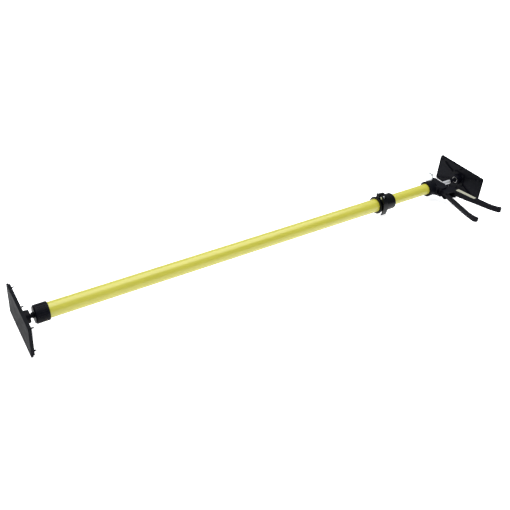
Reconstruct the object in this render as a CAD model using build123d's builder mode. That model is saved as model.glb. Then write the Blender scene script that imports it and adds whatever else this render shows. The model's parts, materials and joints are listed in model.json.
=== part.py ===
"""Telescopic quick-action support pole.

The pole lies along +X, from the foot pad at X = 0 to the head pad. Z is up and Y is level. The origin is
the centre of the foot pad's contact face, on the pole's axis. Everything is in millimetres.
"""

from build123d import *
from math import acos, asin, degrees, radians, tan
import os

# Whole pole
POLE_LENGTH = 1150.0
OUTER_RADIUS = 15.75
INNER_RADIUS = 13.5
WALL = 1.2
FIT = 0.05

# End pads, both alike. W is the distance from the contact face towards the pole
PAD_LENGTH = 140.0
PAD_WIDTH = 70.0
PAD_CORNER = 4.0
RUBBER_THICKNESS = 4.0
PLATE_MARGIN = 1.5
PLATE_THICKNESS = 1.8
PLATE_BACK = RUBBER_THICKNESS + PLATE_THICKNESS
RIM_WIDTH = 1.2
RIM_HEIGHT = 1.2
NUB_Y = 61.0
NUB_Z = 27.3
NUB_RADIUS = 1.65
NUB_BARB_RADIUS = 2.4
NUB_REACH = 12.6
SOCKET_BASE = 36.0
SOCKET_BASE_THICKNESS = 3.0
SOCKET_HEIGHT = 15.0
SOCKET_RIM_RADIUS = 12.5
SOCKET_RIM_W = PLATE_BACK + SOCKET_HEIGHT
SOCKET_CORNER = 5.0
LIP_REACH = 3.0
LINER_LIP_ANGLE = 69.0
RIVET_PITCH = 28.0
RIVET_RADIUS = 1.6
BALL_W = 16.0
BALL_RADIUS = 7.0
LINER_INNER = 7.15
LINER_OUTER = 8.15
CAVITY_RADIUS = 8.35
NECK_RADIUS = 4.6
MOUTH_RADIUS = 9.6

# Foot end
COLLAR_START = 28.7
COLLAR_END = 56.0
COLLAR_RADIUS = 18.4
OUTER_TUBE_START = 37.0
STUD_RADIUS = 4.0

# Clamp between the tubes
CLAMP_START = 861.6
CLAMP_END = 911.0
CLAMP_RADIUS = 19.7
CLAMP_LIP_RADIUS = 21.2
OUTER_TUBE_END = 882.2
EAR_WIDTH = 9.0
EAR_TOP = 30.5
EAR_LENGTH = 20.0
EAR_START = CLAMP_START + 2
LEVER_START = 865.8
LEVER_WIDTH = 13.0
BOLT_X = LEVER_START + LEVER_WIDTH / 2
BOLT_Z = 24.5
CAM_Y = -10.0
CAM_RADIUS = 5.4
LEVER_SLOT = 6.4
BARREL_RADIUS = 3.2

# Inner tube
INNER_TUBE_START = 240.5
INNER_TUBE_END = 1040.5
BUSH_SPIGOT = 10.0
FLANGE_RADIUS = 14.0

# Grip housing. Its two shells meet in the plane Z = 0
LIP_START = 1028.0
LIP_RADIUS = 19.2
NECK_OF_HEAD_RADIUS = 18.6
GUIDE_WALL = 3.0
GUIDE_END = INNER_TUBE_END + GUIDE_WALL
BRAKE_RIB_START = 1051.0
CHAMBER_START = 1053.5
CHAMBER_END = 1072.3
HEAD_FRONT = 1074.8
BODY_HALF = 12.3
CHAMBER_HALF = 9.0
CHEEK_HALF = 8.6
SLOT_HALF = 6.0
HANDLE_HALF = 6.2

# Mechanism
PIVOT = (1057.8, 15.5)
PIVOT_PIN_RADIUS = 2.5
TRIGGER_HALF = 5.5
FORK_OUTER = 8.6
FORK_INNER = 5.6
ROD_RADIUS = 5.0
ROD_START = 918.0
ROD_END = 1112.7
ROD_BORE_DEPTH = 17.0
DRIVE_PLATE_X = 1061.8
DRIVE_PLATE_THICKNESS = 2.6
BRAKE_PLATE_X = 1044.3
BRAKE_PLATE_THICKNESS = 2.5
SPRING_MEAN_RADIUS = 6.6

os.makedirs("parts", exist_ok=True)


def save(piece, name):
    """Label a finished piece and write its STEP file."""
    piece.label = name
    export_step(piece, f"parts/{name}.step")


def across(x):
    """Plane across the pole at X = x: local x is Y, local y is Z."""
    return Plane.YZ.offset(x)


def ring_about_pole(x0, x1, outer, inner):
    """Plain ring or tube on the pole's axis."""
    with BuildPart() as ring:
        with BuildSketch(across(x0)):
            Circle(outer)
            Circle(inner, mode=Mode.SUBTRACT)
        extrude(amount=x1 - x0)
    return ring


def turned(points):
    """Solid turned about the pole's axis from (X, radius) points."""
    with BuildPart() as solid:
        with BuildSketch(Plane.XY):
            with BuildLine():
                Polyline(*points, close=True)
            make_face()
        revolve(axis=Axis.X)
    return solid


# ---------------------------------------------------------------- end pads

def pad_rubber(name, face_x, facing):
    """Rubber slab with six barbed nubs that are pulled through the plate."""
    face = Plane(origin=(face_x, 0, 0), x_dir=(0, 1, 0), z_dir=(facing, 0, 0))
    nubs = [(y, z) for y in (-NUB_Y, 0, NUB_Y) for z in (-NUB_Z, NUB_Z)]
    with BuildPart() as rubber:
        with BuildSketch(face):
            RectangleRounded(PAD_LENGTH, PAD_WIDTH, PAD_CORNER)
        extrude(amount=RUBBER_THICKNESS)
        contact = rubber.faces().sort_by(Axis.X)[0 if facing > 0 else -1]
        fillet(contact.edges(), radius=0.8)
        with BuildSketch(face.offset(RUBBER_THICKNESS)):
            with Locations(*nubs):
                Circle(NUB_RADIUS)
        extrude(amount=PLATE_THICKNESS)
        with BuildSketch(face.offset(PLATE_BACK)):
            with Locations(*nubs):
                Circle(NUB_BARB_RADIUS)
        extrude(amount=1.6, taper=20)
        with BuildSketch(face.offset(PLATE_BACK)):
            with Locations(*nubs):
                Circle(NUB_RADIUS)
        extrude(amount=NUB_REACH - PLATE_BACK, taper=4)
    save(rubber.part, name)


def pad_plate(name, face_x, facing):
    """Backing plate with a raised rim and four diagonal ribs."""
    face = Plane(origin=(face_x, 0, 0), x_dir=(0, 1, 0), z_dir=(facing, 0, 0))
    length = PAD_LENGTH - 2 * PLATE_MARGIN
    width = PAD_WIDTH - 2 * PLATE_MARGIN
    rib_length, rib_width, rib_height = 35.0, 2.4, 3.2
    rib_middle = (36.0, 17.5)
    rib_angle = 25.0
    with BuildPart() as plate:
        with BuildSketch(face.offset(RUBBER_THICKNESS)):
            RectangleRounded(length, width, PAD_CORNER)
        extrude(amount=PLATE_THICKNESS)
        with BuildSketch(face.offset(PLATE_BACK)):
            RectangleRounded(length, width, PAD_CORNER)
            RectangleRounded(
                length - 2 * RIM_WIDTH, width - 2 * RIM_WIDTH, PAD_CORNER - RIM_WIDTH, mode=Mode.SUBTRACT
            )
        extrude(amount=RIM_HEIGHT)
        for y_side in (-1, 1):
            for z_side in (-1, 1):
                with BuildSketch(face.offset(PLATE_BACK)):
                    with Locations((y_side * rib_middle[0], z_side * rib_middle[1])):
                        Rectangle(rib_length, rib_width, rotation=y_side * z_side * rib_angle)
                extrude(amount=rib_height, taper=8)
        with BuildSketch(face.offset(RUBBER_THICKNESS)):
            with Locations(*[(y, z) for y in (-NUB_Y, 0, NUB_Y) for z in (-NUB_Z, NUB_Z)]):
                Circle(NUB_RADIUS + FIT)
            with GridLocations(RIVET_PITCH, RIVET_PITCH, 2, 2):
                Circle(RIVET_RADIUS)
        extrude(amount=PLATE_THICKNESS + RIM_HEIGHT, mode=Mode.SUBTRACT)
    save(plate.part, name)


def pad_socket(name, face_x, facing):
    """Square-based cup with a spherical cavity and a flared mouth."""
    face = Plane(origin=(face_x, 0, 0), x_dir=(0, 1, 0), z_dir=(facing, 0, 0))
    turning = Plane(origin=(face_x, 0, 0), x_dir=(facing, 0, 0), z_dir=(0, 0, 1))
    lip_angle = degrees(acos(LIP_REACH / CAVITY_RADIUS))
    taper = 6.0
    foot_radius = SOCKET_RIM_RADIUS + SOCKET_HEIGHT * tan(radians(taper))
    with BuildPart() as socket:
        with BuildSketch(face.offset(PLATE_BACK)):
            RectangleRounded(SOCKET_BASE, SOCKET_BASE, SOCKET_CORNER)
        extrude(amount=SOCKET_BASE_THICKNESS)
        with BuildSketch(face.offset(PLATE_BACK)):
            Circle(foot_radius)
        extrude(amount=SOCKET_HEIGHT, taper=taper)
        for angle in (0, 90):
            with BuildSketch(face.offset(PLATE_BACK)):
                Rectangle(SOCKET_BASE - 3, 2.4, rotation=angle)
            extrude(amount=6.5, taper=6)
        with BuildSketch(turning):
            with BuildLine():
                bowl = CenterArc((BALL_W, 0), CAVITY_RADIUS, 180, lip_angle - 180)
                Polyline(bowl @ 1, (SOCKET_RIM_W, MOUTH_RADIUS), (SOCKET_RIM_W, 0), bowl @ 0)
            make_face()
        revolve(axis=Axis.X, mode=Mode.SUBTRACT)
        with BuildSketch(face.offset(PLATE_BACK)):
            with GridLocations(RIVET_PITCH, RIVET_PITCH, 2, 2):
                Circle(RIVET_RADIUS)
        extrude(amount=SOCKET_BASE_THICKNESS, mode=Mode.SUBTRACT)
    save(socket.part, name)


def pad_rivets(name, face_x, facing):
    """Four round-headed rivets that hold the socket on the plate."""
    face = Plane(origin=(face_x, 0, 0), x_dir=(0, 1, 0), z_dir=(facing, 0, 0))
    head_w = PLATE_BACK + SOCKET_BASE_THICKNESS
    with BuildPart() as rivets:
        with BuildSketch(face.offset(RUBBER_THICKNESS)):
            with GridLocations(RIVET_PITCH, RIVET_PITCH, 2, 2):
                Circle(RIVET_RADIUS)
        extrude(amount=head_w - RUBBER_THICKNESS)
        with BuildSketch(face.offset(head_w)):
            with GridLocations(RIVET_PITCH, RIVET_PITCH, 2, 2):
                Circle(2.9)
        extrude(amount=1.4, taper=35)
    save(rivets.part, name)


def pad_liner(name, face_x, facing):
    """Thin spherical liner between the ball and the socket."""
    turning = Plane(origin=(face_x, 0, 0), x_dir=(facing, 0, 0), z_dir=(0, 0, 1))
    with BuildPart() as liner:
        with BuildSketch(turning):
            with BuildLine():
                outside = CenterArc((BALL_W, 0), LINER_OUTER, 180, LINER_LIP_ANGLE - 180)
                inside = CenterArc((BALL_W, 0), LINER_INNER, 180, LINER_LIP_ANGLE - 180)
                Line(outside @ 1, inside @ 1)
                Line(outside @ 0, inside @ 0)
            make_face()
        revolve(axis=Axis.X)
    save(liner.part, name)


def ball_stud(name, face_x, facing, hex_start, hex_end, hex_flats, tail):
    """Ball, neck, hexagon and a turned tail given as (W, radius) points."""
    face = Plane(origin=(face_x, 0, 0), x_dir=(0, 1, 0), z_dir=(facing, 0, 0))
    turning = Plane(origin=(face_x, 0, 0), x_dir=(facing, 0, 0), z_dir=(0, 0, 1))
    neck_angle = degrees(asin(NECK_RADIUS / BALL_RADIUS))
    with BuildPart() as stud:
        with BuildSketch(turning):
            with BuildLine():
                ball = CenterArc((BALL_W, 0), BALL_RADIUS, 180, neck_angle - 180)
                Polyline(ball @ 1, (hex_start + 0.5, NECK_RADIUS), (hex_start + 0.5, 0), ball @ 0)
            make_face()
        revolve(axis=Axis.X)
        with BuildSketch(face.offset(hex_start)):
            RegularPolygon(hex_flats / 2, 6, major_radius=False)
        extrude(amount=hex_end - hex_start)
        with BuildSketch(turning):
            with BuildLine():
                Polyline((hex_end - 0.5, 0), (hex_end - 0.5, tail[0][1]), *tail, (tail[-1][0], 0), close=True)
            make_face()
        revolve(axis=Axis.X)
    save(stud.part, name)


def pad_set(prefix, face_x, facing):
    """All pieces of one end pad but its ball stud."""
    pad_rubber(f"{prefix}_rubber", face_x, facing)
    pad_plate(f"{prefix}_plate", face_x, facing)
    pad_socket(f"{prefix}_socket", face_x, facing)
    pad_rivets(f"{prefix}_rivets", face_x, facing)
    pad_liner(f"{prefix}_liner", face_x, facing)


# ---------------------------------------------------------------- foot end

def foot_end():
    """Collar plugged into the outer tube, and the ball stud that turns in it."""
    web_end = 41.0
    groove_start, groove_end, groove_radius = 41.2, 42.3, 3.0
    tail_end = 46.0
    plug_end, plug_bore = 89.0, 10.0
    ball_stud(
        "foot_ball_stud", 0, 1, 25.0, COLLAR_START - 0.1, 10.0,
        [
            (groove_start, STUD_RADIUS), (groove_start, groove_radius), (groove_end, groove_radius),
            (groove_end, STUD_RADIUS), (tail_end - 0.5, STUD_RADIUS), (tail_end, STUD_RADIUS - 0.5),
        ],
    )

    with BuildPart() as foot_stud_clip:
        with BuildSketch(across(groove_start + 0.05)):
            Circle(6.2)
            Circle(groove_radius + FIT, mode=Mode.SUBTRACT)
            with Locations((0, -5)):
                Rectangle(4.2, 10, mode=Mode.SUBTRACT)
        extrude(amount=1.0)
    save(foot_stud_clip.part, "foot_stud_clip")

    skirt_inner = OUTER_RADIUS + FIT
    plug_radius = OUTER_RADIUS - WALL - FIT
    with BuildPart() as foot_collar:
        with BuildSketch(Plane.XY):
            with BuildLine():
                Polyline(
                    (COLLAR_START, STUD_RADIUS + FIT), (COLLAR_START, COLLAR_RADIUS - 2.2),
                    (COLLAR_START + 2.2, COLLAR_RADIUS), (COLLAR_END - 0.8, COLLAR_RADIUS),
                    (COLLAR_END, COLLAR_RADIUS - 0.8), (COLLAR_END, skirt_inner),
                    (OUTER_TUBE_START, skirt_inner), (OUTER_TUBE_START, plug_radius),
                    (plug_end - 1, plug_radius), (plug_end, plug_radius - 1), (plug_end, plug_bore),
                    (web_end, plug_bore), (web_end, STUD_RADIUS + FIT), close=True,
                )
            make_face()
        revolve(axis=Axis.X)
        with BuildSketch(across(COLLAR_START + 5)):
            with PolarLocations(COLLAR_RADIUS + 0.35, 24):
                Circle(0.8)
        extrude(amount=17, mode=Mode.SUBTRACT)
    save(foot_collar.part, "foot_collar")


# ---------------------------------------------------------------- tubes

def tubes():
    """Outer tube, inner tube, and the plug and slide bush on the inner tube's tail."""
    outer_tube = ring_about_pole(OUTER_TUBE_START, OUTER_TUBE_END, OUTER_RADIUS, OUTER_RADIUS - WALL)
    save(outer_tube.part, "outer_tube")

    inner_tube = ring_about_pole(INNER_TUBE_START, INNER_TUBE_END, INNER_RADIUS, INNER_RADIUS - WALL)
    save(inner_tube.part, "inner_tube")

    flange_start = INNER_TUBE_START - 20
    flange_end = flange_start + 4
    spigot = INNER_RADIUS - WALL - FIT
    inner_tube_plug = turned([
        (flange_start, 6), (flange_start, FLANGE_RADIUS - 0.6), (flange_start + 0.6, FLANGE_RADIUS),
        (flange_end, FLANGE_RADIUS),
        (flange_end, BUSH_SPIGOT), (INNER_TUBE_START, BUSH_SPIGOT), (INNER_TUBE_START, spigot),
        (INNER_TUBE_START + 22, spigot), (INNER_TUBE_START + 22, 6),
    ])
    save(inner_tube_plug.part, "inner_tube_plug")

    inner_tube_bush = ring_about_pole(
        flange_end + 0.3, INNER_TUBE_START - 0.3, OUTER_RADIUS - WALL - FIT, BUSH_SPIGOT + FIT
    )
    save(inner_tube_bush.part, "inner_tube_bush")


# ---------------------------------------------------------------- clamp

def clamp_body_piece():
    """Split collar with two ears, pressed over the outer tube's end."""
    seat = OUTER_RADIUS + FIT
    wall_start = CLAMP_END - 2.5
    with BuildPart() as clamp_body:
        with BuildSketch(Plane.XY):
            with BuildLine():
                Polyline(
                    (CLAMP_START, 0), (CLAMP_START, CLAMP_LIP_RADIUS - 0.6),
                    (CLAMP_START + 0.6, CLAMP_LIP_RADIUS), (CLAMP_START + 2.6, CLAMP_LIP_RADIUS),
                    (CLAMP_START + 3.6, CLAMP_RADIUS), (CLAMP_END, CLAMP_RADIUS), (CLAMP_END, 0), close=True,
                )
            make_face()
        revolve(axis=Axis.X)
        fillet(clamp_body.edges().group_by(Axis.X)[-1], radius=2.6)
        with BuildSketch(across(EAR_START)):
            with Locations((0, (EAR_TOP + 10) / 2)):
                Rectangle(EAR_WIDTH, EAR_TOP - 10)
        extrude(amount=EAR_LENGTH)
        top_edges = clamp_body.edges().group_by(Axis.Z)[-1]
        fillet(top_edges, radius=3.2)
        with BuildSketch(across(CLAMP_START)):
            Circle(seat)
        extrude(amount=wall_start - CLAMP_START, mode=Mode.SUBTRACT)
        with BuildSketch(across(wall_start)):
            Circle(INNER_RADIUS + 0.4)
        extrude(amount=CLAMP_END - wall_start, mode=Mode.SUBTRACT)
        with BuildSketch(across(CLAMP_START)):
            with Locations((0, 28)):
                Rectangle(1.6, 30)
        extrude(amount=EAR_LENGTH + 10, mode=Mode.SUBTRACT)
        with BuildSketch(Plane.XZ.offset(-EAR_WIDTH)):
            with Locations((BOLT_X, BOLT_Z)):
                Circle(2.75)
        extrude(amount=2 * EAR_WIDTH, mode=Mode.SUBTRACT)
    save(clamp_body.part, "clamp_body")

    clamp_liner = ring_about_pole(OUTER_TUBE_END + 0.5, wall_start - 0.3, OUTER_RADIUS, INNER_RADIUS + FIT)
    save(clamp_liner.part, "clamp_liner")


def clamp_bolt_pieces():
    """Cross bolt with its washer, and the barrel that the lever turns on."""
    ear_face = EAR_WIDTH / 2
    washer_face = ear_face + 1.2
    with BuildPart() as clamp_bolt:
        with BuildSketch(Plane.XZ.offset(-washer_face)):
            with Locations((BOLT_X, BOLT_Z)):
                RegularPolygon(4.0, 6, major_radius=False)
        extrude(amount=-4.0)
        with BuildSketch(Plane.XZ.offset(-washer_face)):
            with Locations((BOLT_X, BOLT_Z)):
                Circle(2.5)
        extrude(amount=washer_face - CAM_Y + 2.0)
    save(clamp_bolt.part, "clamp_bolt")

    with BuildPart() as clamp_washer:
        with BuildSketch(Plane.XZ.offset(-washer_face)):
            with Locations((BOLT_X, BOLT_Z)):
                Circle(4.7)
                Circle(2.6, mode=Mode.SUBTRACT)
        extrude(amount=1.2)
    save(clamp_washer.part, "clamp_washer")

    with BuildPart() as clamp_barrel:
        with BuildSketch(across(LEVER_START + 0.5)):
            with Locations((CAM_Y, BOLT_Z)):
                Circle(BARREL_RADIUS)
        extrude(amount=LEVER_WIDTH - 1)
        with BuildSketch(Plane.XZ.offset(-CAM_Y - 5)):
            with Locations((BOLT_X, BOLT_Z)):
                Circle(2.5 + 0.02)
        extrude(amount=10, mode=Mode.SUBTRACT)
    save(clamp_barrel.part, "clamp_barrel")


def clamp_lever_piece():
    """Cam lever that wraps round the collar, with a fork for the bolt."""
    slot_start = LEVER_START + (LEVER_WIDTH - LEVER_SLOT) / 2
    with BuildPart() as clamp_lever:
        with BuildSketch(across(LEVER_START)):
            with BuildLine():
                outside = Spline((-13.0, 28.4), (-20.6, 19), (-24.6, 8), (-25, -3), (-21.8, -17.4))
                Line(outside @ 1, (-18.2, -18))
                inside = Spline((-18.2, -18), (-21.4, -6), (-21.6, 5), (-17.4, 15.6), (-9.6, 20.6))
                Line(inside @ 1, outside @ 0)
            make_face()
            with Locations((CAM_Y, BOLT_Z)):
                Circle(CAM_RADIUS)
        extrude(amount=LEVER_WIDTH)
        with BuildSketch(across(slot_start)):
            with Locations((CAM_Y, BOLT_Z)):
                Circle(CAM_RADIUS + 1.2)
        extrude(amount=LEVER_SLOT, mode=Mode.SUBTRACT)
        with BuildSketch(across(LEVER_START)):
            with Locations((CAM_Y, BOLT_Z)):
                Circle(BARREL_RADIUS + FIT)
        extrude(amount=LEVER_WIDTH, mode=Mode.SUBTRACT)
    save(clamp_lever.part, "clamp_lever")


# ---------------------------------------------------------------- grip housing

HANDLE_BACK = [
    (1075.0, -7), (1087.5, -22), (1097.8, -40), (1103.7, -61), (1107.7, -90), (1112.1, -111),
    (1118.8, -133), (1129.8, -148),
]
HANDLE_TIP = (1127.4, -153.6)
HANDLE_FRONT = [
    (1120.4, -154), (1112.8, -142), (1104.2, -122), (1096.1, -98), (1088.9, -80), (1081.0, -56),
    (1076.0, -42), (1067.3, -25),
]
CHEEK_OUTLINE = [
    (1051.8, -13), (1054.2, -23), (1051.3, -34), (1046.8, -45), (1049.3, -49), (1060.2, -48),
    (1071.6, -50), (1080.3, -56), (1083.0, -49), (1081.5, -25), (1072.0, -13),
]
BODY_OUTLINE = [
    (1041.8, 12), (1049.5, 21.6), (1065.5, 22.8), (HEAD_FRONT, 16.5), (HEAD_FRONT, -18), (1069.0, -30.5),
    (1051.4, -30.5), (1049.0, -21), (1041.8, -12),
]
SCREW_PLACES = [(1087.6, -39), (1099.6, -85), (1063.0, 19.6)]
SCREW_RADIUS = 1.5
SCREW_HEAD_RADIUS = 3.0
SCREW_HEAD_Z = 3.4
SCREW_TIP_Z = 4.6
RIVET_PLACE = (1078.6, -21.0)


def handle_block():
    """Fixed handle with rounded long edges."""
    shortest_rim = 60.0
    with BuildPart() as handle:
        with BuildSketch(Plane.XY.offset(-HANDLE_HALF)) as outline:
            with BuildLine():
                back = Spline(*HANDLE_BACK)
                ThreePointArc(back @ 1, HANDLE_TIP, HANDLE_FRONT[0])
                front = Spline(*HANDLE_FRONT)
                Line(front @ 1, back @ 0)
            make_face()
            tip_corners = outline.vertices().sort_by(Axis.Y)[0:2]
            fillet(tip_corners, radius=2.2)
        extrude(amount=2 * HANDLE_HALF)
        rims = handle.faces().filter_by(Axis.Z).edges()
        long_rims = rims.filter_by(lambda edge: edge.length > shortest_rim)
        fillet(long_rims, radius=1.8)
    return handle.part


def body_block():
    """Neck, main block and cheeks of the housing, still solid."""
    with BuildPart() as block:
        with BuildSketch(Plane.XY):
            with BuildLine():
                Polyline(
                    (LIP_START, 0), (LIP_START, LIP_RADIUS - 0.5), (LIP_START + 0.5, LIP_RADIUS),
                    (LIP_START + 2.4, LIP_RADIUS), (LIP_START + 3.0, NECK_OF_HEAD_RADIUS),
                    (BRAKE_RIB_START, NECK_OF_HEAD_RADIUS), (BRAKE_RIB_START + 4.5, 14.5),
                    (BRAKE_RIB_START + 4.5, 0), close=True,
                )
            make_face()
        revolve(axis=Axis.X)
        with BuildSketch(Plane.XY.offset(-BODY_HALF)) as main_outline:
            with BuildLine():
                Polyline(*BODY_OUTLINE, close=True)
            make_face()
            fillet(main_outline.vertices(), radius=2.5)
        extrude(amount=2 * BODY_HALF)
        with BuildSketch(Plane.XY.offset(-CHEEK_HALF)) as cheek_outline:
            with BuildLine():
                Polyline(*CHEEK_OUTLINE, close=True)
            make_face()
            fillet(cheek_outline.vertices(), radius=1.8)
        extrude(amount=2 * CHEEK_HALF)
    return block.part


def head_shell(name, keep, handle, block):
    """One half of the hollow housing, split at Z = 0."""
    px, py = PIVOT
    with BuildPart() as shell:
        add(block)
        add(handle)
        with BuildSketch(across(LIP_START)):
            Circle(INNER_RADIUS + FIT)
        extrude(amount=INNER_TUBE_END - LIP_START, mode=Mode.SUBTRACT)
        with BuildSketch(across(LIP_START)):
            Circle(ROD_RADIUS + FIT)
        extrude(amount=HEAD_FRONT - LIP_START, mode=Mode.SUBTRACT)
        with BuildSketch(Plane.XY.offset(-CHAMBER_HALF)):
            with BuildLine():
                Polyline(
                    (CHAMBER_START, -8), (CHAMBER_START, 20), (CHAMBER_END - 6, 20), (CHAMBER_END, 16),
                    (CHAMBER_END, -28.5), (1051.4, -28.5), (1049.0, -20), close=True,
                )
            make_face()
        extrude(amount=2 * CHAMBER_HALF, mode=Mode.SUBTRACT)
        with BuildSketch(Plane.XY.offset(-SLOT_HALF)):
            with BuildLine():
                Polyline(
                    (1032, -20), (CHAMBER_END, -20), (CHAMBER_END + 1, -34), (1080, -64), (1032, -64), close=True
                )
            make_face()
        extrude(amount=2 * SLOT_HALF, mode=Mode.SUBTRACT)
        with BuildSketch(across(GUIDE_END)):
            RectangleRounded(21.4, 31, 3)
            with Locations((8, 20)):
                Rectangle(17, 20)
        extrude(amount=BRAKE_RIB_START - GUIDE_END, mode=Mode.SUBTRACT)
        with BuildSketch(Plane.XY.offset(-BODY_HALF)):
            with Locations((px, py)):
                Circle(PIVOT_PIN_RADIUS)
        extrude(amount=2 * BODY_HALF, mode=Mode.SUBTRACT)
        with BuildSketch(Plane.XY.offset(-CHEEK_HALF)):
            with Locations(RIVET_PLACE):
                Circle(2.0)
        extrude(amount=2 * CHEEK_HALF, mode=Mode.SUBTRACT)
        with BuildSketch(Plane.XY.offset(-SCREW_HEAD_Z)):
            with Locations(*SCREW_PLACES):
                Circle(SCREW_RADIUS)
        extrude(amount=SCREW_HEAD_Z + SCREW_TIP_Z, mode=Mode.SUBTRACT)
        with BuildSketch(Plane.XY.offset(-SCREW_HEAD_Z)):
            with Locations(*SCREW_PLACES):
                Circle(SCREW_HEAD_RADIUS + FIT)
        extrude(amount=SCREW_HEAD_Z - 2 * BODY_HALF, mode=Mode.SUBTRACT)
        split(bisect_by=Plane.XY, keep=keep)
    save(shell.part, name)


def housing_fasteners():
    """Screws from the lower side, and the round-headed rivet beside the rod."""
    with BuildPart() as head_screws:
        with BuildSketch(Plane.XY.offset(-SCREW_HEAD_Z)):
            with Locations(*SCREW_PLACES):
                Circle(SCREW_RADIUS)
        extrude(amount=SCREW_HEAD_Z + SCREW_TIP_Z)
        with BuildSketch(Plane.XY.offset(-SCREW_HEAD_Z)):
            with Locations(*SCREW_PLACES):
                Circle(SCREW_HEAD_RADIUS)
        extrude(amount=-1.6)
    save(head_screws.part, "head_screws")

    with BuildPart() as head_rivet:
        with BuildSketch(Plane.XY.offset(-CHEEK_HALF)):
            with Locations(RIVET_PLACE):
                Circle(2.0)
        extrude(amount=2 * CHEEK_HALF)
        with BuildSketch(Plane.XY.offset(CHEEK_HALF)):
            with Locations(RIVET_PLACE):
                Circle(4.0)
        extrude(amount=1.8, taper=35)
        with BuildSketch(Plane.XY.offset(-CHEEK_HALF)):
            with Locations(RIVET_PLACE):
                Circle(4.0)
        extrude(amount=-1.8, taper=35)
    save(head_rivet.part, "head_rivet")


def label_strip():
    """Blank strip stuck on the upper face of the fixed handle."""
    with BuildPart() as handle_label:
        with BuildSketch(Plane.XY.offset(HANDLE_HALF)) as strip:
            with BuildLine():
                Polyline((1085.1, -45), (1096.4, -94), (1104.9, -94), (1096.3, -45), close=True)
            make_face()
            fillet(strip.vertices(), radius=0.8)
        extrude(amount=0.3)
    save(handle_label.part, "handle_label")


# ---------------------------------------------------------------- mechanism

def trigger_pieces():
    """Forked trigger and the pin that it turns on."""
    px, py = PIVOT
    root_width = 8.0
    with BuildPart() as trigger:
        with BuildSketch(Plane.XY.offset(-TRIGGER_HALF)):
            with BuildLine():
                left = Spline(
                    (1054.6, -15), (1054.4, -24), (1052.0, -38), (1046.9, -60), (1041.5, -85), (1036.1, -111),
                    (1032.4, -135), (1031.6, -151),
                )
                ThreePointArc(left @ 1, (1036.6, -157.6), (1044.8, -156))
                right = Spline(
                    (1044.8, -156), (1041.9, -147), (1041.3, -134), (1045.1, -111), (1050.6, -85),
                    (1055.7, -60), (1059.6, -38), (1061.9, -24), (1061.4, -15),
                )
                Line(right @ 1, left @ 0)
            make_face()
        extrude(amount=2 * TRIGGER_HALF)
        rims = trigger.faces().filter_by(Axis.Z).edges()
        gripped = rims.filter_by(lambda edge: edge.length > root_width)
        fillet(gripped, radius=1.8)
        with BuildSketch(Plane.XY.offset(-FORK_OUTER)):
            with BuildLine():
                Polyline(
                    (1054.0, py), (1054.0, -12), (1053.2, -22), (1056.0, -26.5), (1059.2, -22),
                    (1059.6, -12), (1059.6, py), close=True,
                )
            make_face()
            with Locations((px, py)):
                Circle(4.2)
            with Locations((1059.6, -4)):
                Circle(2.0)
        extrude(amount=2 * FORK_OUTER)
        with BuildSketch(Plane.XY.offset(-FORK_INNER)):
            with Locations((px, 6)):
                Rectangle(14, 32)
        extrude(amount=2 * FORK_INNER, mode=Mode.SUBTRACT)
        with BuildSketch(Plane.XY.offset(-FORK_OUTER)):
            with Locations((px, py)):
                Circle(PIVOT_PIN_RADIUS + FIT)
        extrude(amount=2 * FORK_OUTER, mode=Mode.SUBTRACT)
    save(trigger.part, "trigger")

    with BuildPart() as trigger_pin:
        with BuildSketch(Plane.XY.offset(-BODY_HALF)):
            with Locations((px, py)):
                Circle(PIVOT_PIN_RADIUS)
        extrude(amount=2 * BODY_HALF)
        for side in (-1, 1):
            with BuildSketch(Plane.XY.offset(side * BODY_HALF)):
                with Locations((px, py)):
                    Circle(PIVOT_PIN_RADIUS + 1.2)
            extrude(amount=side * 1.0, taper=30)
    save(trigger_pin.part, "trigger_pin")


def jam_plates():
    """Drive plate and the brake plate with its thumb tab."""
    with BuildPart() as drive_plate:
        with BuildSketch(across(DRIVE_PLATE_X)):
            RectangleRounded(19.0, 17.2, 1.5)
            Circle(ROD_RADIUS + 0.3, mode=Mode.SUBTRACT)
        extrude(amount=DRIVE_PLATE_THICKNESS)
    save(drive_plate.part, "drive_plate")

    tab_y, tab_width, tab_top = 8.0, 14.0, 37.0
    with BuildPart() as brake_plate:
        with BuildSketch(across(BRAKE_PLATE_X)):
            with Locations((0, -0.5)):
                RectangleRounded(20.0, 28.0, 1.5)
            with Locations((tab_y, (12 + tab_top) / 2)):
                RectangleRounded(tab_width, tab_top - 12, 2.0)
            Circle(ROD_RADIUS + 0.6, mode=Mode.SUBTRACT)
        extrude(amount=BRAKE_PLATE_THICKNESS)
        with BuildSketch(Plane.XZ.offset(-tab_y - tab_width / 2)):
            with BuildLine():
                Polyline(
                    (BRAKE_PLATE_X, tab_top), (BRAKE_PLATE_X + BRAKE_PLATE_THICKNESS, tab_top),
                    (BRAKE_PLATE_X + BRAKE_PLATE_THICKNESS, tab_top - 6),
                    (BRAKE_PLATE_X, tab_top - 2.2), (BRAKE_PLATE_X - 5.5, tab_top - 1.2),
                    (BRAKE_PLATE_X - 5.0, tab_top + 1.4), close=True,
                )
            make_face()
        extrude(amount=tab_width)
    save(brake_plate.part, "brake_plate")


def coil_spring(name, x0, x1, wire_radius, turns):
    """Compression spring round the rod."""
    pitch = (x1 - x0 - 2 * wire_radius) / turns
    start = x0 + wire_radius
    with BuildPart() as spring:
        with BuildLine():
            coil = Helix(
                pitch=pitch, height=pitch * turns, radius=SPRING_MEAN_RADIUS, center=(start, 0, 0),
                direction=(1, 0, 0),
            )
        with BuildSketch(Plane(origin=coil @ 0, z_dir=coil % 0)):
            Circle(wire_radius)
        sweep(path=coil)
    save(spring.part, name)


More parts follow.
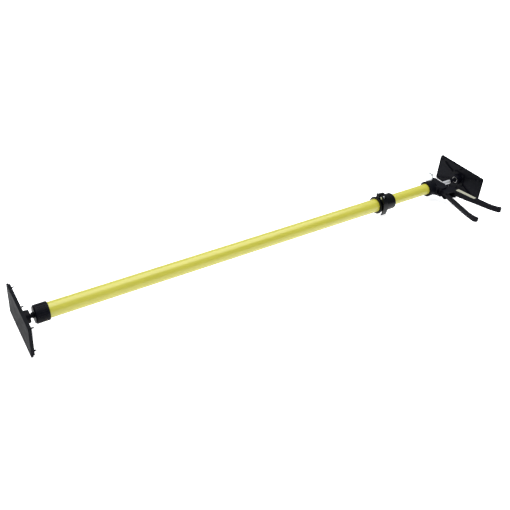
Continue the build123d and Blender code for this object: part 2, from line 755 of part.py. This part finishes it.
def push_rod_pieces():
    """Steel rod with its tail stop, and the swivelling ball stud on its front end."""
    groove = ROD_START + 2
    with BuildPart() as push_rod:
        with BuildSketch(Plane.XY):
            with BuildLine():
                Polyline(
                    (ROD_START, 0), (ROD_START, 4.2), (ROD_START + 0.8, ROD_RADIUS), (groove, ROD_RADIUS),
                    (groove, 4.0), (groove + 1.6, 4.0), (groove + 1.6, ROD_RADIUS), (ROD_END - 0.8, ROD_RADIUS),
                    (ROD_END, 4.2), (ROD_END, 3.0 + FIT), (ROD_END - ROD_BORE_DEPTH, 3.0 + FIT),
                    (ROD_END - ROD_BORE_DEPTH, 0), close=True,
                )
            make_face()
        revolve(axis=Axis.X)
    save(push_rod.part, "push_rod")

    with BuildPart() as rod_stop:
        with BuildSketch(across(groove + 0.2)):
            Circle(9.0)
            Circle(4.0 + FIT, mode=Mode.SUBTRACT)
            with Locations((0, -7)):
                Rectangle(5.6, 14, mode=Mode.SUBTRACT)
        extrude(amount=1.2)
    save(rod_stop.part, "rod_stop")

    washer_width = 3.4
    hex_start = 25.5
    hex_end = POLE_LENGTH - ROD_END - washer_width
    ball_stud(
        "top_ball_stud", POLE_LENGTH, -1, hex_start, hex_end, 11.0,
        [(hex_end, 3.0), (POLE_LENGTH - ROD_END + ROD_BORE_DEPTH - 0.5, 3.0)],
    )
    top_thrust_washer = ring_about_pole(ROD_END, ROD_END + washer_width, 6.2, 3.0 + FIT)
    save(top_thrust_washer.part, "top_thrust_washer")


def main():
    pad_set("foot", 0, 1)
    pad_set("top", POLE_LENGTH, -1)
    foot_end()
    tubes()
    clamp_body_piece()
    clamp_bolt_pieces()
    clamp_lever_piece()
    handle = handle_block()
    block = body_block()
    head_shell("head_shell_upper", Keep.TOP, handle, block)
    head_shell("head_shell_lower", Keep.BOTTOM, handle, block)
    housing_fasteners()
    label_strip()
    trigger_pieces()
    jam_plates()
    coil_spring("drive_spring", DRIVE_PLATE_X + DRIVE_PLATE_THICKNESS, CHAMBER_END, 0.4, 3)
    coil_spring("brake_spring", BRAKE_PLATE_X + BRAKE_PLATE_THICKNESS, BRAKE_RIB_START, 0.45, 2.5)
    push_rod_pieces()


main()
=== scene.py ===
"""Looks for the telescopic quick-action support pole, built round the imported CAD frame. Metres."""

import json
import math

import bpy
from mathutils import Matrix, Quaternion, Vector


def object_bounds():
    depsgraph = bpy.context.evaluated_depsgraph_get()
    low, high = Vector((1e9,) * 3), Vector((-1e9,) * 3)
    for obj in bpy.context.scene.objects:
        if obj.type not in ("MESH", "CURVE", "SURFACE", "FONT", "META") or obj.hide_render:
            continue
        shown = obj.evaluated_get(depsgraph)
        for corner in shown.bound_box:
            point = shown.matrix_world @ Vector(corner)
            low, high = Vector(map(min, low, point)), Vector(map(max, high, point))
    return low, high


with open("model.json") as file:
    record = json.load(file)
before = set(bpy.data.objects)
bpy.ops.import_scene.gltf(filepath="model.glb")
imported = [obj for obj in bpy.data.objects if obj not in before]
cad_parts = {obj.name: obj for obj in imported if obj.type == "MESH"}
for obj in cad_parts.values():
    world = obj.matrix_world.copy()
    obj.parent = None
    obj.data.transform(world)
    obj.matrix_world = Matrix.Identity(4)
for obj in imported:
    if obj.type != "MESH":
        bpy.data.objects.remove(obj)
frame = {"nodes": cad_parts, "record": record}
CAD_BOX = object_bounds()

# ---------------------------------------------------------------- camera, floor and light

# Fitted to the long edges of both pads and of the tube in the photo. The camera's axis passes
# beside the pole, so the frame is shifted a little.
CAMERA_PLACE = Vector((-0.1891, -0.9750, 0.8910))
VIEW_AZIMUTH = math.radians(-31.92)
VIEW_ELEVATION = math.radians(31.24)
VIEW_ROLL = math.radians(3.236)
FRAME_SHIFT = (0.0686, -0.1511)
LENS_MM = 48.27
SENSOR_MM = 36.0

WORLD_TONE = (0.92, 0.95, 1.0, 1)
WORLD_STRENGTH = 0.45
POLE_MIDDLE = (0.55, 0.0, 0.0)
FLOOR_REACH = 30.0


def view_back(azimuth, elevation):
    """Unit vector from the target towards the camera."""
    return Vector((
        math.sin(azimuth) * math.cos(elevation),
        -math.cos(azimuth) * math.cos(elevation),
        math.sin(elevation),
    ))


def add_camera():
    """Camera at the photo's viewpoint."""
    camera = bpy.data.objects.new("camera", bpy.data.cameras.new("camera"))
    bpy.context.scene.collection.objects.link(camera)
    camera.data.lens = LENS_MM
    camera.data.sensor_width = SENSOR_MM
    camera.data.shift_x, camera.data.shift_y = FRAME_SHIFT
    camera.location = CAMERA_PLACE
    upright = view_back(VIEW_AZIMUTH, VIEW_ELEVATION).to_track_quat("Z", "Y")
    camera.rotation_euler = (upright @ Quaternion((0, 0, 1), VIEW_ROLL)).to_euler()
    bpy.context.scene.camera = camera


def area_light(name, place, size, power):
    """Rectangular light in metres and watts that faces the middle of the pole."""
    data = bpy.data.lights.new(name, "AREA")
    data.shape = "RECTANGLE"
    data.size, data.size_y = size
    data.energy = power
    light = bpy.data.objects.new(name, data)
    bpy.context.scene.collection.objects.link(light)
    light.location = place
    backward = (Vector(place) - Vector(POLE_MIDDLE)).normalized()
    light.rotation_euler = backward.to_track_quat("Z", "Y").to_euler()


def add_studio():
    """White floor, an overhead softbox, a front fill and a pale surrounding."""
    bpy.context.scene.view_settings.view_transform = "Standard"
    world = bpy.data.worlds.new("studio")
    bpy.context.scene.world = world
    world.use_nodes = True
    background = world.node_tree.nodes["Background"]
    background.inputs["Color"].default_value = WORLD_TONE
    background.inputs["Strength"].default_value = WORLD_STRENGTH
    area_light("overhead_softbox", (0.6, 0.35, 1.5), (2.6, 1.8), 55)
    area_light("front_fill", (-0.9, -2.2, 1.2), (1.6, 1.2), 9)
    floor_mesh = bpy.data.meshes.new("floor")
    low = CAD_BOX[0][2]
    corners = [(x * FLOOR_REACH, y * FLOOR_REACH, low) for x, y in ((-1, -1), (1, -1), (1, 1), (-1, 1))]
    floor_mesh.from_pydata(corners, [], [(0, 1, 2, 3)])
    floor = bpy.data.objects.new("floor", floor_mesh)
    bpy.context.scene.collection.objects.link(floor)
    floor.data.materials.append(floor_material())


# ---------------------------------------------------------------- material helpers

class Shade:
    """A small helper that builds one node material."""

    def __init__(self, name):
        self.material = bpy.data.materials.new(name)
        self.material.use_nodes = True
        self.tree = self.material.node_tree
        self.shader = self.tree.nodes["Principled BSDF"]
        self.coords = self.node("ShaderNodeTexCoord").outputs["Object"]

    def node(self, kind, **settings):
        made = self.tree.nodes.new(kind)
        for key, value in settings.items():
            setattr(made, key, value)
        return made

    def link(self, source, target):
        self.tree.links.new(source, target)

    def set(self, **values):
        for key, value in values.items():
            self.shader.inputs[key.replace("_", " ")].default_value = value

    def stretched(self, scale):
        """Object coordinates scaled along each axis: a small scale draws a texture out."""
        mapping = self.node("ShaderNodeMapping")
        mapping.inputs["Scale"].default_value = scale
        self.link(self.coords, mapping.inputs["Vector"])
        return mapping.outputs["Vector"]

    def noise(self, scale, detail=3.0, roughness=0.55, vector=None, distortion=0.0):
        made = self.node("ShaderNodeTexNoise")
        made.inputs["Scale"].default_value = scale
        made.inputs["Detail"].default_value = detail
        made.inputs["Roughness"].default_value = roughness
        made.inputs["Distortion"].default_value = distortion
        self.link(vector or self.coords, made.inputs["Vector"])
        return made.outputs["Fac"]

    def voronoi(self, scale):
        made = self.node("ShaderNodeTexVoronoi")
        made.inputs["Scale"].default_value = scale
        self.link(self.coords, made.inputs["Vector"])
        return made.outputs["Distance"]

    def ramp(self, source, low, high, start, end):
        """Map source from low..high to start..end."""
        made = self.node("ShaderNodeMapRange", clamp=True)
        made.inputs["From Min"].default_value = low
        made.inputs["From Max"].default_value = high
        made.inputs["To Min"].default_value = start
        made.inputs["To Max"].default_value = end
        self.link(source, made.inputs["Value"])
        return made.outputs["Result"]

    def math(self, operation, a, b):
        made = self.node("ShaderNodeMath", operation=operation)
        for socket, value in zip(made.inputs, (a, b)):
            if isinstance(value, (int, float)):
                socket.default_value = value
            else:
                self.link(value, socket)
        return made.outputs["Value"]

    def mix(self, factor, a, b):
        """Mix two colours, each a tuple or a socket."""
        made = self.node("ShaderNodeMix", data_type="RGBA")
        self.link(factor, made.inputs["Factor"])
        colours_in = [socket for socket in made.inputs if socket.type == "RGBA"]
        colour_out = next(socket for socket in made.outputs if socket.type == "RGBA")
        for socket, value in zip(colours_in, (a, b)):
            if isinstance(value, tuple):
                socket.default_value = (*value, 1)
            else:
                self.link(value, socket)
        return colour_out

    def colour(self, source):
        self.link(source, self.shader.inputs["Base Color"])

    def rough(self, source):
        self.link(source, self.shader.inputs["Roughness"])

    def bump(self, *layers):
        """Stack (height socket, strength, distance) bumps."""
        normal = None
        for height, strength, distance in layers:
            made = self.node("ShaderNodeBump")
            made.inputs["Strength"].default_value = strength
            made.inputs["Distance"].default_value = distance
            self.link(height, made.inputs["Height"])
            if normal:
                self.link(normal, made.inputs["Normal"])
            normal = made.outputs["Normal"]
        self.link(normal, self.shader.inputs["Normal"])


def floor_material():
    """Matt white floor that glows a little, so that it stays white behind the pole."""
    shade = Shade("pale_floor")
    patches = shade.noise(3.0)
    shade.colour(shade.mix(patches, (0.88, 0.89, 0.90), (0.92, 0.92, 0.92)))
    glow = shade.mix(patches, (0.96, 0.97, 0.98), (1.0, 1.0, 1.0))
    shade.link(glow, shade.shader.inputs["Emission Color"])
    shade.set(Roughness=0.85, Emission_Strength=0.75)
    return shade.material


def yellow_paint():
    """Powder-coated tube: orange peel and faint lengthwise rubs."""
    shade = Shade("yellow_powder_coat")
    lengthwise = shade.stretched((0.04, 1.0, 1.0))
    cloud = shade.noise(9.0, 2.0)
    rubs = shade.ramp(shade.noise(900.0, 2.0, vector=lengthwise), 0.60, 0.72, 0.0, 1.0)
    tone = shade.mix(cloud, (0.37, 0.35, 0.030), (0.42, 0.395, 0.040))
    shade.colour(shade.mix(shade.math("MULTIPLY", rubs, 0.10), tone, (0.58, 0.56, 0.22)))
    soft = shade.ramp(cloud, 0.3, 0.7, 0.30, 0.38)
    shade.rough(shade.math("ADD", soft, shade.math("MULTIPLY", rubs, 0.08)))
    shade.set(Coat_Weight=0.25, Coat_Roughness=0.12)
    shade.bump((shade.noise(650.0, 1.0), 0.10, 0.0003), (rubs, -0.05, 0.0001))
    return shade.material


def black_rubber():
    """Moulded rubber: matt, slightly chalky, with a fine pebble."""
    shade = Shade("black_rubber")
    chalk = shade.noise(40.0, 6.0, 0.65)
    pebble = shade.voronoi(1400.0)
    shade.colour(shade.mix(chalk, (0.003, 0.0035, 0.0045), (0.009, 0.010, 0.0125)))
    shade.rough(shade.ramp(chalk, 0.3, 0.7, 0.52, 0.68))
    shade.set(Specular_IOR_Level=0.035)
    shade.bump((pebble, 0.25, 0.0002), (shade.noise(120.0, 4.0), 0.15, 0.0004))
    return shade.material


def black_plastic():
    """Glass-filled nylon: spark-eroded grain and flow marks."""
    shade = Shade("black_plastic")
    flow = shade.noise(30.0, 4.0, 0.6, distortion=0.6)
    grain = shade.noise(2600.0, 2.0, 0.7)
    shade.colour(shade.mix(flow, (0.001, 0.001, 0.0025), (0.003, 0.0035, 0.006)))
    shade.set(Specular_IOR_Level=0.06)
    shade.rough(shade.ramp(flow, 0.3, 0.7, 0.34, 0.46))
    shade.bump((grain, 0.22, 0.00015), (flow, 0.05, 0.0006))
    return shade.material


def glossy_black():
    """Glossy moulding with light handling marks."""
    shade = Shade("glossy_black")
    smear = shade.noise(55.0, 5.0, 0.6, distortion=1.2)
    streaks = shade.noise(700.0, 2.0, vector=shade.stretched((1.0, 0.08, 0.3)))
    scratches = shade.ramp(streaks, 0.62, 0.72, 0.0, 1.0)
    shade.colour(shade.mix(scratches, (0.001, 0.0015, 0.002), (0.004, 0.005, 0.0055)))
    soft = shade.ramp(smear, 0.35, 0.7, 0.14, 0.26)
    shade.rough(shade.math("ADD", soft, shade.math("MULTIPLY", scratches, 0.1)))
    shade.set(Specular_IOR_Level=0.12, Coat_Weight=0.04, Coat_Roughness=0.12)
    shade.bump((smear, 0.03, 0.0005), (scratches, -0.04, 0.0001))
    return shade.material


def black_steel():
    """Black-coated pressed steel: fine texture and rubbed patches."""
    shade = Shade("black_steel")
    cloud = shade.noise(25.0, 5.0, 0.6)
    shade.colour(shade.mix(cloud, (0.0015, 0.0015, 0.003), (0.005, 0.0055, 0.008)))
    shade.rough(shade.ramp(cloud, 0.3, 0.7, 0.38, 0.55))
    shade.set(Specular_IOR_Level=0.05)
    shade.bump((shade.noise(1500.0, 2.0), 0.18, 0.0002))
    return shade.material


def steel(name, tone, light_tone, roughness, grain_scale, grain_strength):
    """Bare or plated steel with a grain drawn out along the pole. Roughness is a (low, high) pair."""
    shade = Shade(name)
    grain = shade.noise(grain_scale, 3.0, 0.6, vector=shade.stretched((0.05, 1.0, 1.0)))
    cloud = shade.noise(60.0, 4.0)
    shade.colour(shade.mix(cloud, tone, light_tone))
    shade.rough(shade.ramp(grain, 0.3, 0.7, *roughness))
    shade.set(Metallic=1.0)
    shade.bump((grain, grain_strength, 0.0001))
    return shade.material


def white_nylon():
    """Natural nylon: slightly milky, with faint cloud."""
    shade = Shade("white_nylon")
    cloud = shade.noise(80.0, 3.0)
    shade.colour(shade.mix(cloud, (0.72, 0.71, 0.66), (0.80, 0.79, 0.74)))
    shade.rough(shade.ramp(cloud, 0.3, 0.7, 0.38, 0.5))
    shade.set(Subsurface_Weight=0.15, Subsurface_Radius=(0.002, 0.002, 0.0015))
    shade.bump((shade.noise(900.0, 2.0), 0.08, 0.0002))
    return shade.material


def label_film():
    """Blank film: faint print screen, faded in patches."""
    shade = Shade("label_film")
    fade = shade.noise(45.0, 4.0)
    screen = shade.noise(3500.0, 1.0)
    tone = shade.mix(fade, (0.27, 0.27, 0.20), (0.33, 0.33, 0.26))
    shade.colour(shade.mix(shade.math("MULTIPLY", screen, 0.3), tone, (0.22, 0.22, 0.17)))
    shade.rough(shade.ramp(fade, 0.3, 0.7, 0.32, 0.48))
    shade.bump((fade, 0.12, 0.0004))
    return shade.material


def slot_materials():
    """One material for each material slot of the record."""
    return {
        "yellow_paint": yellow_paint(),
        "black_rubber": black_rubber(),
        "black_plastic": black_plastic(),
        "glossy_black": glossy_black(),
        "black_steel": black_steel(),
        "bright_steel": steel(
            "bright_steel", (0.82, 0.83, 0.84), (0.90, 0.91, 0.92), (0.30, 0.42), 1500.0, 0.08
        ),
        "zinc_steel": steel(
            "zinc_steel", (0.50, 0.52, 0.53), (0.64, 0.66, 0.66), (0.26, 0.42), 700.0, 0.10
        ),
        "white_nylon": white_nylon(),
        "label": label_film(),
    }


def dress_cad_nodes(materials):
    """Give each CAD node the material of its slot."""
    for part in frame["record"]["subparts"]:
        node = frame["nodes"][part["node"]]
        node.data.materials.clear()
        node.data.materials.append(materials[part["material_slot"]])


add_camera()
add_studio()
dress_cad_nodes(slot_materials())
